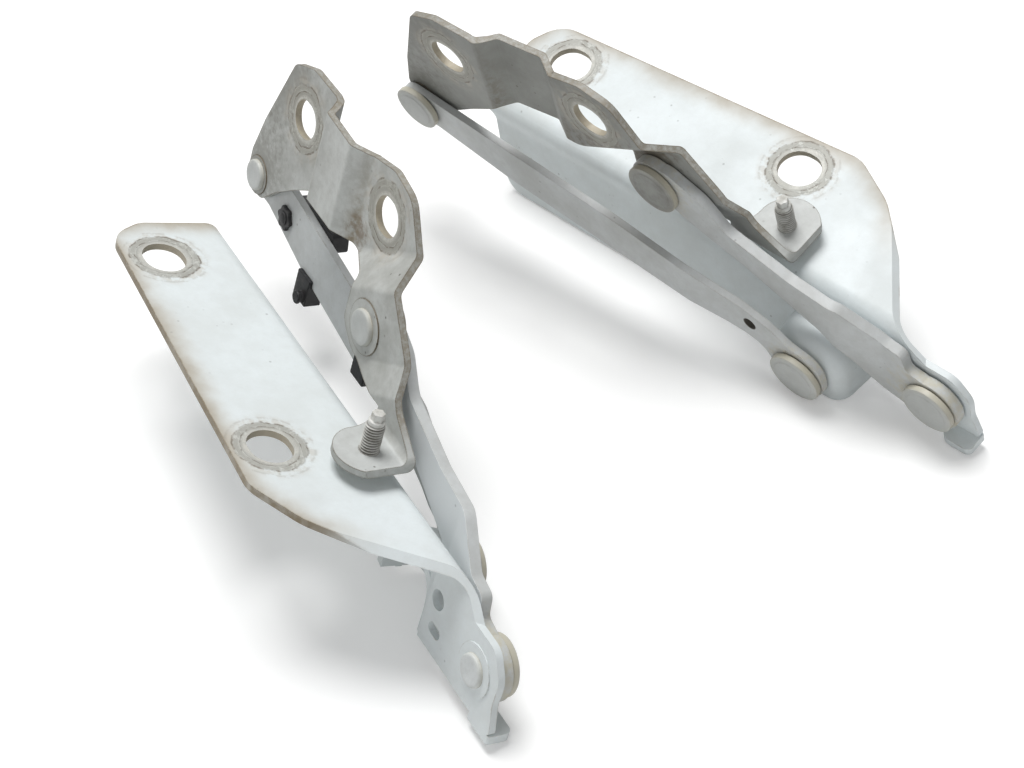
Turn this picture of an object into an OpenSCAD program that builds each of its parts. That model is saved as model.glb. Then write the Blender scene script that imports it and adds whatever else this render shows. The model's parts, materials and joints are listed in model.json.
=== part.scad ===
// Pair of four-bar bonnet hinges, left and right hand, shown shut on their stop bolts.
// Sizes in millimetres. X points to the bonnet tips, Y to the left hinge, Z up.
// Each hinge is drawn in its own frame: origin on the main pivot at the outer web face,
// x along the flange, y outwards, z square to the flange.

/* [Set] */
// sideways lean of each hinge, in degrees
lean = 17; // [0:0.5:25]
// turn of each hinge away from the middle plane, in degrees
toe = 9; // [0:0.5:15]
// distance from the middle plane to each main pivot
half_gap = 122; // [115:1:180]
// distance of the main pivots behind the middle of the set
pivot_back = 122.4; // [100:0.1:170]
// height of the main pivots over the floor
pivot_height = 23.7; // [15:0.1:60]

/* [Body plate] */
// thickness of the pressed sheet
sheet = 3; // [2:0.25:4]
// height of the flange top over the main pivot
flange_top = 30; // [27:0.5:36]
// length of the flange from the main pivot to its far end
flange_length = 257; // [250:1:270]
// drop of the web below the main pivot
web_drop = 20; // [19:0.5:20.5]
// bend radius of the flange shoulder
shoulder_r = 8; // [5:0.5:10]
// length of the oblong mounting holes
slot_length = 20; // [18:0.5:22]
// width of the oblong mounting holes
slot_width = 18; // [16:0.5:18]

/* [Four-bar pivots] */
// guide pivot, along the flange
guide_x = 56.5; // [54:0.5:58]
// guide pivot, above the main pivot
guide_z = -2; // [-3:0.5:0]
// bonnet pivot of the main link, along the flange
lift_x = 133; // [130:0.5:138]
// bonnet pivot of the main link, above the main pivot
lift_z = 61; // [58:0.5:64]
// bonnet pivot of the guide link, along the flange
tail_x = 263; // [260:0.5:266]
// bonnet pivot of the guide link, above the main pivot
tail_z = 46; // [44:0.5:48]

/* [Layers] */
// depth of the guide pivot boss behind the web
boss_depth = 22; // [21:0.5:23]
// thickness of the spacer washers at the fixed pivots
spacer = 1; // [0.6:0.1:1.5]
// thickness of the spacer washer at the lift pivot
lift_spacer = 0.5; // [0.4:0.1:1]
// thickness of the main link
main_t = 5; // [4:0.25:6]
// inward step along the main link
main_step = 5; // [4:0.25:6]
// inward step along the guide link
guide_step = 3; // [2:0.25:4]
// thickness of the guide link
guide_t = 3.5; // [3:0.25:4]
// thickness of the bonnet bracket
bracket_t = 3; // [2.5:0.25:3.5]
// gap between each link and its rivet disc
disc_gap = 0.5; // [0.4:0.1:1]

/* [Rivets] */
// shank diameter of the pivot rivets
shank_d = 10; // [8:0.5:11]
// diameter of the formed heads
formed_d = 13.5; // [12:0.5:15]
// height of the formed heads
formed_h = 2; // [1.5:0.25:3]
// diameter of the flat discs on the inner side
disc_d = 25; // [22:0.5:27]
// thickness of the flat discs
disc_t = 3; // [2:0.25:3.5]
// wall of the pivot bushes
bush_wall = 1.2; // [1:0.1:1.5]
// radial running clearance in the bushes
run_clear = 0.05; // [0.02:0.01:0.1]
// radial play of the guide link round the tail rivet
tail_play = 2.8; // [2.6:0.1:3]

/* [Stop bolt] */
// thread diameter of the stop bolt
bolt_d = 8; // [6:0.5:8]
// width across flats of the bolt head
bolt_af = 13; // [10:0.5:13]
// height of the stop tab over the flange
tab_lift = 6; // [5:0.5:8]
// gap left under the bolt head when the hinge is shut
stop_gap = 0.15; // [0.1:0.05:0.5]
// length of the stud above the stop tab
stud_length = 18; // [14:0.5:22]

/* [Clips] */
// diameter of the clip button
button_d = 9.5; // [8:0.5:11]
// length of each edge clip along the guide link
clip_length = 11; // [8:0.5:14]

/* [Hidden] */
// curve fineness
$fn = 48;
shank_r = shank_d / 2;
bush_r = shank_r + run_clear + bush_wall;
guide_p = [guide_x, guide_z];
lift_p = [lift_x, lift_z];
tail_p = [tail_x, tail_z];
slot_a = [flange_length - 26, 33];
slot_b = [105.5, 42.3];
web_in = -sheet;
main_out = web_in - spacer;
main_far_out = main_out - main_step;
low_out = main_far_out + lift_spacer + bracket_t;
guide_out = -boss_depth - spacer;
guide_far_out = guide_out - guide_step;
high_out = guide_far_out + spacer + bracket_t;
mid_out = high_out + 4;
tab_top = flange_top + tab_lift + bracket_t;
stop_p = [86, 11];
tab_r = 14.4;
button_p = [tail_x - 24.4, tail_z - 6.5];
pad_h = 0.5;
seam = 0.03;
arm_out = low_out + 5;
neck_turn = 31;
lift_s = lift_x * sin(neck_turn) + lift_z * cos(neck_turn);
web_lean = 10;
lean_top = 18;
boss_r = 20.5;
span = tail_x - lift_x;
reach = tail_x - guide_x;
near_drop = 17;
fold_x = 38;
fold_foot = 62;
paint = [0.8, 0.81, 0.82];
dusty = [0.66, 0.66, 0.64];
steel = [0.6, 0.6, 0.6];
cream = [0.74, 0.7, 0.6];
bronze = [0.55, 0.45, 0.3];
black = [0.07, 0.07, 0.08];

// corner of an outline, turned into an arc from one side to the next
function unit(v) = v / norm(v);
function arc_corner(a, b, c, r, n) =
  let (u = unit(a - b))
  let (v = unit(c - b))
  let (half = acos(u * v) / 2)
  let (mid = b + unit(u + v) * r / sin(half))
  let (s = b + u * r / tan(half) - mid)
  let (e = b + v * r / tan(half) - mid)
  let (w = 180 - 2 * half)
  [for (i = [0:n]) mid + (s * sin(w * (1 - i / n)) + e * sin(w * i / n)) / sin(w)];

// outline whose points carry a corner radius as third value
function xy(p) = [p[0], p[1]];
function rounded(p, n = 6) =
  let (k = len(p))
  [for (i = [0:k - 1])
    each p[i][2] == 0
      ? [xy(p[i])]
      : arc_corner(xy(p[(i + k - 1) % k]), xy(p[i]), xy(p[(i + 1) % k]), p[i][2], n)];

// sheet that follows a line of bends, t to its inner side
function side(a, b) = [b[1] - a[1], a[0] - b[0]] / norm(b - a);
function mitre(a, b, c) = (side(a, b) + side(b, c)) / (1 + side(a, b) * side(b, c));
function shifted(line, t) =
  let (k = len(line) - 1)
  [for (i = [0:k])
    line[i] + t * (i == 0 ? side(line[0], line[1])
      : i == k ? side(line[k - 1], line[k])
      : mitre(line[i - 1], line[i], line[i + 1]))];
function bends(line, r) =
  let (k = len(line) - 1)
  [for (i = [0:k]) [line[i][0], line[i][1], i == 0 || i == k ? 0 : r]];
function reversed(p) = [for (i = [len(p) - 1:-1:0]) p[i]];
function strip(line, t, r) = rounded(concat(bends(line, r), reversed(bends(shifted(line, t), r))));

module left_side() {
  translate([-pivot_back, half_gap, pivot_height]) rotate([lean, 0, -toe]) children();
}

module right_side() {
  mirror([0, 1, 0]) left_side() children();
}

// upright plate from y_out inwards
module plate(y_out, t) {
  translate([0, y_out, 0]) rotate([90, 0, 0]) linear_extrude(t) children();
}

// section in y and z, drawn out along x
module along_x(x0, x1) {
  translate([x0, 0, 0]) rotate([90, 0, 90]) linear_extrude(x1 - x0) children();
}

// round bar on a pivot axis, from y_out inwards
module bar(p, r, y_out, t) {
  plate(y_out, t) translate(p) circle(r);
}

// ring on a pivot axis
module ring(p, r, hole_r, y_out, t) {
  plate(y_out, t) difference() {
    translate(p) circle(r);
    translate(p) circle(hole_r);
  }
}

// oblong hole outline
module oblong(p, length, width) {
  reach = (length - width) / 2;
  translate(p) {
    translate([-reach, 0]) circle(width / 2);
    translate([reach, 0]) circle(width / 2);
    square([2 * reach, width], center = true);
  }
}

// flange and web of the body plate as bent sections
module far_section() {
  polygon(rounded([
    [75, flange_top, 0], [web_in, flange_top, shoulder_r], [web_in, lean_top, 10],
    [web_in - web_lean, -web_drop - 2, 0], [-web_lean, -web_drop - 2, 0], [0, lean_top, 10],
    [0, flange_top - sheet, shoulder_r - sheet], [75, flange_top - sheet, 0]
  ]));
}

module near_section() {
  polygon(rounded([
    [75, flange_top, 0], [web_in, flange_top, shoulder_r], [web_in, -40, 0],
    [0, -40, 0], [0, flange_top - sheet, shoulder_r - sheet], [75, flange_top - sheet, 0]
  ]));
}

module flange_outline() {
  polygon(rounded([
    [flange_length - 5, -60, 0], [flange_length - 5, 0, 6],
    [flange_length, 34, 10], [flange_length - 7, 49, 14], [86, 60.6, 16], [63, 48.5, 30],
    [42, 29, 16], [26, 8, 0], [-60, -20, 0], [-60, -60, 0]
  ]));
}

module web_outline() {
  polygon(rounded([
    [4, 45, 0], [flange_length + 10, 45, 0], [flange_length + 10, flange_top - 4, 0],
    [flange_length - 8, flange_top - 8, 6], [flange_length - 14, -web_drop, 10],
    [100, -web_drop, 14], [82, -12.5, 12], [64, -16.5, 8], [50, -near_drop, 6], [-19.5, -near_drop, 2], [-15.8, -4, 10], [-15.8, 7, 10], [-8, 17, 8],
    [4, 17, 0]
  ]));
}

module body_sheet() {
  difference() {
    intersection() {
      union() {
        along_x(-40, fold_x + 0.5) near_section();
        difference() {
          along_x(fold_x, flange_length + 5) far_section();
          plate(10, 60) polygon([[fold_x - 1, lean_top], [fold_x, lean_top],
            [fold_foot, -web_drop - 1], [fold_foot, -web_drop - 9], [fold_x - 1, -web_drop - 9]]);
        }
      }
      union() {
        translate([0, 0, lean_top + 2]) linear_extrude(60) flange_outline();
        translate([-60, -80, -60]) cube([400, 160, 60 + lean_top + 2.5]);
      }
      plate(80, 160) web_outline();
    }
    near_corner();
  }
}

// slanting cut that carries the flange's near edge over the shoulder and down the web
module near_corner() {
  intersection() {
    translate([22.4, 1.1, flange_top - 1.5]) rotate([0, 133.6, -37.6]) translate([-80, -80, -100])
      cube([160, 160, 100]);
    translate([-40, -30, 17]) cube([100, 100, 40]);
  }
}

// fold that runs from the near web down to the leaning one
module body_fold() {
  r = sheet / 2;
  low = -near_drop + r;
  hull() {
    translate([fold_x, -r, lean_top - 1]) sphere(r, $fn = 16);
    translate([fold_x, -r, low]) sphere(r, $fn = 16);
    translate([fold_foot + 1, -r - web_lean * (lean_top - low) / (lean_top + web_drop + 2), low])
      sphere(r, $fn = 16);
  }
}

// dome round the guide pivot, from y_base in to y_end, running straight down below it
module dome(r, y_base, y_end, round) {
  translate([guide_x + 1, 0, guide_z - 4]) {
    rotate([-90, 0, 0]) rotate_extrude($fn = 72)
      polygon(rounded([[0, y_end, 0], [r - 2, y_end, round], [r, y_base, 0], [0, y_base, 0]]));
    translate([0, 0, -20]) linear_extrude(20)
      polygon(rounded([[-r, y_base, 0], [2 - r, y_end, round], [r - 2, y_end, round], [r, y_base, 0]]));
  }
}

// pressed boss that carries the guide pivot, open at the lower edge
module guide_boss() {
  intersection() {
    dome(boss_r, -sheet / 2, -boss_depth, 8);
    plate(10, 60) polygon([[0, -near_drop], [guide_x - 4, -near_drop - 1], [guide_x + 8, -16.5],
      [guide_x + 22, -12.5], [120, -12.5], [120, 60], [0, 60]]);
  }
}

module body_plate() {
  difference() {
    union() {
      body_sheet();
      body_fold();
      guide_boss();
      bar([0, 0], 11, pad_h, pad_h + 0.5);
      translate([0, 0, -near_drop - sheet - 0.6]) linear_extrude(sheet + 1)
        polygon(rounded([[-19.5, 0, 1], [-19.5, -11, 3], [-4, -11, 5], [-4, 0, 1]]));
    }
    dome(boss_r - sheet, 3, sheet - boss_depth, 5);
    bar([0, 0], shank_r, 5, 15);
    bar(guide_p, shank_r, 5, 45);
    bar([32.4, 6.4], 4.3, 5, 12);
    plate(5, 12) oblong([29.3, -6.7], 8.6, 5);
    linear_extrude(60) oblong(slot_a, slot_length, slot_width);
    linear_extrude(60) oblong(slot_b, slot_length, slot_width);
  }
}

// main link between the main pivot and the lift pivot
module main_outline() {
  difference() {
    union() {
      circle(13.5);
      translate(lift_p) circle(13);
      polygon(rounded([
        [-6, -12, 3], [10, -12.5, 6], [24, -9, 8], [37, 5, 8], [53, 18.5, 12], [90, 36, 30],
        [120, 47, 20], [143, 62, 9], [128, 75, 8], [108, 66, 12], [97, 53, 14], [66, 43, 16],
        [42, 39, 12], [22, 26, 8], [13, 24, 4], [11.5, 15, 3], [2, 13, 4]
      ]));
    }
    circle(bush_r);
    translate(lift_p) circle(bush_r);
  }
}

module main_link() {
  line = [[-40, main_out], [24, main_out], [46, main_far_out], [170, main_far_out]];
  intersection() {
    translate([0, 0, -40]) linear_extrude(160) polygon(strip(line, main_t, 12));
    plate(20, 60) main_outline();
  }
}

// guide link between the boss and the tail pivot
module guide_outline() {
  near_r = 13;
  far_r = 10.8;
  difference() {
    polygon(rounded([
      [guide_x - near_r, guide_z - near_r, near_r - 1], [66, guide_z - near_r, 9], [74, 4, 10],
      [guide_x + 0.177 * reach, 9, 40], [tail_x - 48, tail_z - 20, 60], [tail_x - 8, tail_z - far_r, 10],
      [tail_x + far_r, tail_z - far_r, far_r - 1.5], [tail_x + far_r, tail_z + far_r, far_r - 1.5],
      [guide_x + 0.453 * reach, 42, 60], [guide_x + 0.259 * reach, 34, 40], [70, 21, 10], [58.5, 14, 8],
      [guide_x - near_r, guide_z + near_r, near_r - 1]
    ], 9));
    translate(guide_p) circle(bush_r);
    translate(tail_p) circle(shank_r + tail_play);
    translate([80, 16]) circle(3);
  }
}

module guide_link(clips) {
  line = [[0, guide_out], [84, guide_out], [112, guide_far_out], [tail_x + 37, guide_far_out]];
  difference() {
    intersection() {
      translate([0, 0, -40]) linear_extrude(160) polygon(strip(line, guide_t, 12));
      plate(0, 60) guide_outline();
    }
    if (clips) {
      bar(button_p, 2.6, 0, 60);
    }
  }
}

// bonnet bracket with its folds, step and stop tab
module bracket_outline() {
  polygon(rounded([
    [tail_x - 10, tail_z + 62, 6], [tail_x + 4, tail_z + 26, 6], [tail_x + 9, tail_z + 8, 5],
    [tail_x + 9, tail_z, 8], [tail_x + 3, tail_z - 8.8, 7], [tail_x - 7, tail_z - 8, 7],
    [tail_x - 17, tail_z + 2, 8], [lift_x + 0.754 * span, tail_z + 13, 10],
    [lift_x + 0.623 * span, tail_z + 24, 8], [lift_x + 0.408 * span, tail_z + 26, 20],
    [lift_x + 0.3 * span, lift_z + 11, 6], [lift_x + 16, lift_z + 12, 5], [lift_x + 16, lift_z - 7, 8],
    [lift_x + 5, lift_z - 15, 12], [lift_x - 13, lift_z - 16, 10], [104, 37, 6], [102, 25, 0],
    [70, 25, 0], [74, 40, 6], [91, 51, 10], [lift_x - 31, lift_z + 7, 14], [lift_x - 5, lift_z + 34, 14],
    [lift_x + 9, lift_z + 53, 12], [lift_x + 25, lift_z + 56, 10], [lift_x + 0.323 * span, lift_z + 52, 20],
    [lift_x + 0.608 * span, tail_z + 66, 6], [lift_x + 0.654 * span, tail_z + 68, 4], [tail_x - 25, tail_z + 68, 10]
  ]));
}

module bracket_high() {
  line = [[lift_x, mid_out], [lift_x + 0.315 * span, mid_out], [lift_x + 0.392 * span, mid_out + 6],
    [lift_x + 0.585 * span, mid_out + 4], [lift_x + 0.638 * span, high_out], [tail_x + 27, high_out]];
  intersection() {
    translate([0, 0, 20]) linear_extrude(120) polygon(strip(line, bracket_t, 3));
    translate([lift_x + 0.288 * span, -60, 10]) cube([span, 120, 140]);
  }
}

// steps between the bolt face, the pivot face and the arm, on slanting folds;
// it runs a little way into both neighbours and is thinner there by the seam
module bracket_neck() {
  mid = mid_out - seam;
  low = low_out - seam;
  arm = arm_out - seam;
  line = [[mid, lift_s + 80], [mid, lift_s + 28.2], [low, lift_s + 15.7], [low, lift_s - 12.8],
    [arm, lift_s - 24.8], [arm, lift_s - 60]];
  intersection() {
    rotate([0, neck_turn, 0]) along_x(-100, 200) polygon(strip(line, bracket_t - 2 * seam, 4));
    translate([40, -60, 45]) cube([lift_x + 0.3 * span - 40, 100, 105]);
  }
}

// foot of the arm, bent outwards into the stop tab
module bracket_tab() {
  line = [[arm_out, 47], [arm_out, tab_top], [40, tab_top]];
  intersection() {
    along_x(60, 106) polygon(strip(line, bracket_t, 4));
    translate([0, 0, 20]) linear_extrude(60) union() {
      translate(stop_p) circle(tab_r);
      polygon(rounded([[70, -12, 0], [106, -12, 0], [102, 6, 6], [92, 18, 8], [80, 18, 8], [71, 4, 6]]));
    }
  }
}

module bracket_sheet() {
  intersection() {
    union() {
      bracket_high();
      bracket_neck();
      bracket_tab();
    }
    plate(60, 140) bracket_outline();
  }
}

module bonnet_bracket() {
  difference() {
    union() {
      bracket_sheet();
      bar(lift_p, 11.5, low_out + pad_h, pad_h + 0.5);
      bar(tail_p, 8.6, high_out + pad_h, pad_h + 0.5);
    }
    bar(lift_p, shank_r, 20, 60);
    bar(tail_p, shank_r, 20, 60);
    plate(20, 60) oblong([tail_x - 27, tail_z + 45], slot_length - 2, slot_width - 2);
    plate(20, 60) oblong([lift_x + 22.5, lift_z + 36], slot_length - 2, slot_width - 2);
    translate([stop_p[0], stop_p[1], 20]) cylinder(h = 40, r = bolt_d / 2);
  }
}

// rivet with a formed head at y_out and a flat disc at y_disc
module rivet(p, y_out, y_disc, disc_r, head_d) {
  bar(p, head_d / 2, y_out + formed_h, formed_h);
  bar(p, shank_r, y_out + 0.5, y_out - y_disc + 1);
  bar(p, disc_r, y_disc, disc_t);
  bar(p, disc_r - 2.5, y_disc - disc_t, 0.4);
}

module main_rivet() {
  rivet([0, 0], pad_h, main_out - main_t - disc_gap, disc_d / 2, formed_d);
}

module guide_rivet() {
  rivet(guide_p, sheet - boss_depth, guide_out - guide_t - disc_gap, disc_d / 2 + 0.2, formed_d - 1);
}

module lift_rivet() {
  rivet(lift_p, low_out + pad_h, main_far_out - main_t - disc_gap, disc_d / 2, formed_d + 1.5);
}

module tail_rivet() {
  rivet(tail_p, high_out + pad_h, guide_far_out - guide_t - disc_gap, disc_d / 2 - 1.2, formed_d);
}

module main_washer() {
  ring([0, 0], 9, shank_r, web_in, spacer * 0.7);
}

module guide_washer() {
  ring(guide_p, 9, shank_r, -boss_depth, spacer * 0.7);
}

module lift_washer() {
  ring(lift_p, 9, shank_r, low_out - bracket_t, lift_spacer * 0.4);
}

module tail_washer() {
  ring(tail_p, 9.5, shank_r, high_out - bracket_t, spacer * 0.7);
}

module main_bush() {
  ring([0, 0], bush_r, bush_r - bush_wall, main_out, main_t);
}

module guide_bush() {
  ring(guide_p, bush_r, bush_r - bush_wall, guide_out, guide_t);
}

module lift_bush() {
  ring(lift_p, bush_r, bush_r - bush_wall, main_far_out, main_t);
}

module stop_bolt() {
  under = tab_top - bracket_t;
  foot = flange_top + stop_gap;
  translate([stop_p[0], stop_p[1], 0]) {
    translate([0, 0, foot]) cylinder(h = under - foot - 1, d = bolt_af / cos(30), $fn = 6);
    translate([0, 0, under - 2.6]) cylinder(h = 2.6, d1 = bolt_af * 1.2, d2 = bolt_af * 1.62);
    translate([0, 0, under - 0.5]) cylinder(h = bracket_t + stud_length - 2.5, d = bolt_d);
    translate([0, 0, tab_top + stud_length - 3.5]) cylinder(h = 3.5, d = bolt_d * 0.68);
  }
}

// clips on the left guide link
module button_clip() {
  link_in = guide_far_out - guide_t;
  bar(button_p, button_d / 2, guide_far_out + 1.6, 1.6);
  bar(button_p, button_d / 3, guide_far_out + 2.4, 1.6);
  bar(button_p, 2.6, guide_far_out + 0.5, guide_t + 1);
  plate(link_in, 8) translate(button_p) polygon(rounded([
    [-34.6, 4.5, 2], [-32.6, 12.5, 2], [-6.6, 10.5, 4], [7.4, 6.5, 3], [7.4, -3.5, 3], [-12.6, -5.5, 4]
  ]));
}

// hook over the lower edge of the guide link at height z
module edge_hook(x, z, drop, rise) {
  difference() {
    translate([x - clip_length / 2, guide_far_out - guide_t - 2.5, z - drop])
      cube([clip_length, guide_t + 4.5, drop + rise]);
    translate([x - clip_length, guide_far_out - guide_t, z]) cube([2 * clip_length, guide_t, 20]);
  }
}

module stub_clip() {
  edge_hook(tail_x - 51, tail_z - 21.8, 9, 4);
  bar([tail_x - 53, tail_z - 27.5], 2.2, guide_far_out + 5, 4);
}

module edge_clip() {
  edge_hook(guide_x + 0.4818 * reach, 16.2, 1.5, 8);
}

module left_body_plate() { color(paint) left_side() body_plate(); }
module left_main_link() { color(paint) left_side() main_link(); }
module left_guide_link() { color(paint) left_side() guide_link(true); }
module left_bonnet_bracket() { color(dusty) left_side() bonnet_bracket(); }
module left_main_rivet() { color(cream) left_side() main_rivet(); }
module left_guide_rivet() { color(cream) left_side() guide_rivet(); }
module left_lift_rivet() { color(cream) left_side() lift_rivet(); }
module left_tail_rivet() { color(cream) left_side() tail_rivet(); }
module left_main_washer() { color(steel) left_side() main_washer(); }
module left_guide_washer() { color(steel) left_side() guide_washer(); }
module left_lift_washer() { color(steel) left_side() lift_washer(); }
module left_tail_washer() { color(steel) left_side() tail_washer(); }
module left_main_bush() { color(bronze) left_side() main_bush(); }
module left_guide_bush() { color(bronze) left_side() guide_bush(); }
module left_lift_bush() { color(bronze) left_side() lift_bush(); }
module left_stop_bolt() { color(steel) left_side() stop_bolt(); }
module left_button_clip() { color(black) left_side() button_clip(); }
module left_stub_clip() { color(black) left_side() stub_clip(); }
module left_edge_clip() { color(black) left_side() edge_clip(); }
module right_body_plate() { color(paint) right_side() body_plate(); }
module right_main_link() { color(paint) right_side() main_link(); }
module right_guide_link() { color(paint) right_side() guide_link(false); }
module right_bonnet_bracket() { color(dusty) right_side() bonnet_bracket(); }
module right_main_rivet() { color(cream) right_side() main_rivet(); }
module right_guide_rivet() { color(cream) right_side() guide_rivet(); }
module right_lift_rivet() { color(cream) right_side() lift_rivet(); }
module right_tail_rivet() { color(cream) right_side() tail_rivet(); }
module right_main_washer() { color(steel) right_side() main_washer(); }
module right_guide_washer() { color(steel) right_side() guide_washer(); }
module right_lift_washer() { color(steel) right_side() lift_washer(); }
module right_tail_washer() { color(steel) right_side() tail_washer(); }
module right_main_bush() { color(bronze) right_side() main_bush(); }
module right_guide_bush() { color(bronze) right_side() guide_bush(); }
module right_lift_bush() { color(bronze) right_side() lift_bush(); }
module right_stop_bolt() { color(steel) right_side() stop_bolt(); }

left_body_plate();
left_main_link();
left_guide_link();
left_bonnet_bracket();
left_main_rivet();
left_guide_rivet();
left_lift_rivet();
left_tail_rivet();
left_main_washer();
left_guide_washer();
left_lift_washer();
left_tail_washer();
left_main_bush();
left_guide_bush();
left_lift_bush();
left_stop_bolt();
left_button_clip();
left_stub_clip();
left_edge_clip();
right_body_plate();
right_main_link();
right_guide_link();
right_bonnet_bracket();
right_main_rivet();
right_guide_rivet();
right_lift_rivet();
right_tail_rivet();
right_main_washer();
right_guide_washer();
right_lift_washer();
right_tail_washer();
right_main_bush();
right_guide_bush();
right_lift_bush();
right_stop_bolt();
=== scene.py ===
"""Bonnet hinge pair: painted pressings, turned rivets, threaded stop bolts, clips, light and camera."""
import json
import math
from collections import namedtuple

import bmesh
import bpy
from mathutils import Matrix, Vector


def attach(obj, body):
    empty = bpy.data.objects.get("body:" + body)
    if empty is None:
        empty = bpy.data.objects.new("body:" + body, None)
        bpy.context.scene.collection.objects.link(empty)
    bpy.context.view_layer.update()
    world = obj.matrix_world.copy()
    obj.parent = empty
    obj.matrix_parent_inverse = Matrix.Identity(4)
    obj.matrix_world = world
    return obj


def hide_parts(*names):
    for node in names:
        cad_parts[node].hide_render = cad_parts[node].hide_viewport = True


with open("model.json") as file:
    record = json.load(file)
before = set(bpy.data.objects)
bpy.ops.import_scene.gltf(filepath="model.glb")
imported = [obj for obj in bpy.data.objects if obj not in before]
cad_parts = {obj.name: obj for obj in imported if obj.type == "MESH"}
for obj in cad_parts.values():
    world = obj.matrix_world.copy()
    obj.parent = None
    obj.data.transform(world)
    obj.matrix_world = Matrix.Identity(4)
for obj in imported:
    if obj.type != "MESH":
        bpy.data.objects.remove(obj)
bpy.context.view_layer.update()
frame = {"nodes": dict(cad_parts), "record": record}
scene = bpy.context.scene
scene.view_settings.view_transform = "Standard"

# Places and sizes are millimetres in a hinge's own frame: the origin is the main pivot on the web's outer
# face, x runs along the flange, y outwards and z square to the flange.
MM = 0.001
SIDES = ("left", "right")

# place of a hinge in the set: the main pivot, the lean of its flange and its toe
HINGE_AT = Vector((-122.4, 122.0, 23.7))
LEAN = math.radians(17)
TOE = math.radians(-9)
HINGE_TURN = Matrix.Rotation(TOE, 4, "Z") @ Matrix.Rotation(LEAN, 4, "X")
LEFT = Matrix.Scale(MM, 4) @ Matrix.Translation(HINGE_AT) @ HINGE_TURN
RIGHT = Matrix.Diagonal((1, -1, 1, 1)) @ LEFT
PLACE = {"left": LEFT, "right": RIGHT}

# rivets: place, seats of head and disc along the pivot, their radii, and how dark their paint is
Pivot = namedtuple("Pivot", "at head_seat disc_seat disc_radius head_radius head_shade disc_shade")
PIVOTS = {
    "main": Pivot((0.0, 0.0), 0.5, -9.5, 12.5, 6.75, 0.1, 0.85),
    "guide": Pivot((56.5, -2.0), -19.0, -27.0, 12.7, 6.25, 0.3, 0.85),
    "lift": Pivot((133.0, 61.0), -5.0, -14.5, 12.5, 7.5, 0.75, 1.75),
    "tail": Pivot((263.0, 46.0), -21.5, -30.0, 11.3, 6.75, 0.6, 0.85),
}
DISC_THICK = 3.0
HEAD_HIGH = 2.0
SHANK_RADIUS = 5.0
RIVET_STEPS = 72

# bolt holes, their longer radius, and the axes that each sheet lies along
FLANGE_HOLES = ((231.0, 33.0, 30.0), (105.5, 42.3, 30.0))
FLANGE_HOLE_RADIUS = 10.0
FLANGE_FACE = (1, 1, 0)
BONNET_HOLES = ((236.0, -22.0, 91.0), (155.5, -18.0, 97.0))
BONNET_HOLE_RADIUS = 9.0
BRACKET_FACE = (1, 0, 1)
WASHER_RADIUS = 15.0

# flange: outer corners from its far end to its near end, its underside, and where its rim stain starts
FLANGE_CORNERS = (
    (252.0, 0.0), (257.0, 34.0), (250.0, 49.0), (86.0, 60.6),
    (63.0, 48.5), (42.0, 29.0), (26.0, 8.0),
)
FLANGE_LOW = 25.0
RIM_FADE = (38.0, 66.0)

# bracket: its folds along the hinge, heights just over the stop tab, heights of fold dirt, and the middle of
# a darker patch on its inner faces
BRACKET_FOLDS = (175.0, 213.0)
TAB_CLEAR = (42.0, 50.0)
FOLD_DIRT_HEIGHTS = (72.0, 104.0)
LIFT_DARK_PATCH = (146.0, -9.0, 76.0)

# links: depth at which the main link starts, and the guide link's small hole
MAIN_LINK_FROM = (-16.0, -12.0)
LINK_HOLE = (80.0, 0.0, 16.0)
LINK_HOLE_RADIUS = 3.05

# stop tab: bounds of its upright edges, least height of such an edge, and its corner radius
TAB_LOW = 35.0
TAB_HIGH = 40.0
TAB_OUT = 2.0
UPRIGHT_HIGH = 2.5
UPRIGHT_LEAN = 0.1
TAB_CORNER = 4.0
TAB_ROOM = 4.6
TAB_STEPS = 6
SLIGHT_BEND = math.radians(12)
STRONG_BEND = math.radians(70)

# stop bolt: place on the flange, then heights of its foot, collar, thread and tip
BOLT_AT = Vector((86.0, 11.0, 0.0))
BOLT_FLATS = 13.0
BOLT_FOOT = 30.15
COLLAR_LOW = 33.3
COLLAR_TOP = 36.0
THREAD_LOW = 35.2
THREAD_TOP = 53.8
TIP_TOP = 57.0
PITCH = 1.25
CREST = 4.0
ROOT = 3.3
TURN_STEPS = 40
TIP_RADIUS = 2.72
TIP_LOBES = 6
BOLT_CHAMFER = 0.35

# clips: places of button and stub on the guide link's outer face, and the button's petals
BUTTON_AT = Vector((238.6, -26.0, 39.5))
PETALS = 6
STUB_AT = Vector((210.0, -25.0, 18.5))

# edge rounding of pressings and mouldings, and angles that count as an edge
EDGE_ROUND = {"body_plate": 0.4, "main_link": 0.5, "guide_link": 0.4, "bonnet_bracket": 0.4}
CLIP_ROUND = 0.6
FINE_ROUND_STEPS = 2
EDGE_ANGLE = 35
SHADE_ANGLE = 40
BOLT_SHADE_ANGLE = 32
FLAT_ANGLE = 0.6

# distances under which points are welded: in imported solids, their slivers, turned shapes and threads
SOLID_WELD = 0.06
SLIVER_WELD = 0.01
TURNED_WELD = 0.005
THREAD_WELD = 0.01

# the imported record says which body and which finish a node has
BODY_OF = {node: body for body, nodes in frame["record"]["behaviour"]["bodies"].items() for node in nodes}
SLOT_OF = {row["node"]: row["material_slot"] for row in frame["record"]["subparts"]}

FLOAT = "NodeSocketFloat"
VECTOR = "NodeSocketVector"


# node helpers

def put(tree, kind, inputs=None, **settings):
    """Adds a node, sets it up and links or fills its inputs."""
    node = tree.nodes.new(kind)
    for name, value in settings.items():
        setattr(node, name, value)
    for name, value in (inputs or {}).items():
        if isinstance(value, bpy.types.NodeSocket):
            tree.links.new(value, node.inputs[name])
        else:
            node.inputs[name].default_value = value
    return node


def maths(tree, operation, *values):
    return put(tree, "ShaderNodeMath", dict(enumerate(values)), operation=operation).outputs[0]


def plus(tree, a, b):
    return maths(tree, "ADD", a, b)


def minus(tree, a, b):
    return maths(tree, "SUBTRACT", a, b)


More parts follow.
